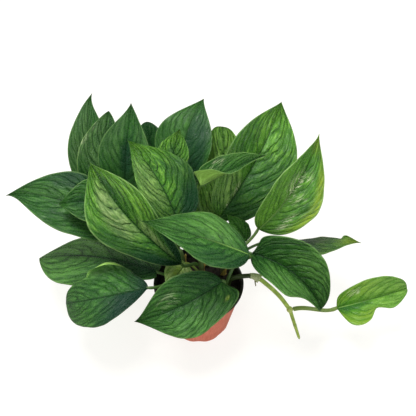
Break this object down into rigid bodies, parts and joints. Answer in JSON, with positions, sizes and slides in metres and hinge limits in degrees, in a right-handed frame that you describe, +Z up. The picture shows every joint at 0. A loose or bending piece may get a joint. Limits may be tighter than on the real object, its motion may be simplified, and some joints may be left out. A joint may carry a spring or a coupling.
{
  "type": "potted monstera",
  "caption": "Young monstera with uncut, pointed green leaves on long stalks and one trailing stem, in a two-colour plastic nursery pot of dark soil",
  "frame": {"origin": "middle of the pot's underside, on the surface it stands on", "axes": "+Z up; the picture looks along +Y, from above; +X to the picture's right, where the trailing stem hangs"},
  "size_m": [0.5525, 0.3045, 0.2582],
  "materials": {
    "pot_plastic": "satin",
    "soil_peat": "matte",
    "stem_green": "satin",
    "runner_green": "satin",
    "leaf_dark": "satin",
    "leaf_light": "satin"
  },
  "bodies": {
    "root": {"pot": "pot_plastic", "soil": "soil_peat", "stem_front_left": "stem_green", "stem_back_left": "stem_green", "stem_middle": "stem_green", "stem_back": "stem_green", "stem_right": "stem_green", "stem_front_right": "stem_green", "stem_runner": "runner_green", "leaf_far_left": "leaf_dark", "leaf_left_small": "leaf_dark", "leaf_lower_left": "leaf_dark", "leaf_bottom_left": "leaf_dark", "leaf_front_left": "leaf_light", "leaf_centre_left": "leaf_light", "leaf_back_left": "leaf_dark", "leaf_outer_back_left": "leaf_dark", "leaf_inner_back_left": "leaf_dark", "leaf_front_centre": "leaf_light", "leaf_bottom_centre": "leaf_dark", "leaf_young_front": "leaf_light", "leaf_back_round_left": "leaf_dark", "leaf_top": "leaf_dark", "leaf_young_top": "leaf_light", "leaf_back_round_right": "leaf_light", "leaf_side_on": "leaf_dark", "leaf_top_right": "leaf_light", "leaf_right": "leaf_light", "leaf_right_inner": "leaf_light", "leaf_right_edge_on": "leaf_dark", "leaf_lower_right": "leaf_dark", "leaf_hidden_back_left": "leaf_dark", "leaf_hidden_back": "leaf_dark", "leaf_hidden_back_right": "leaf_dark", "leaf_runner": "leaf_light"}
  },
  "joints": []
}
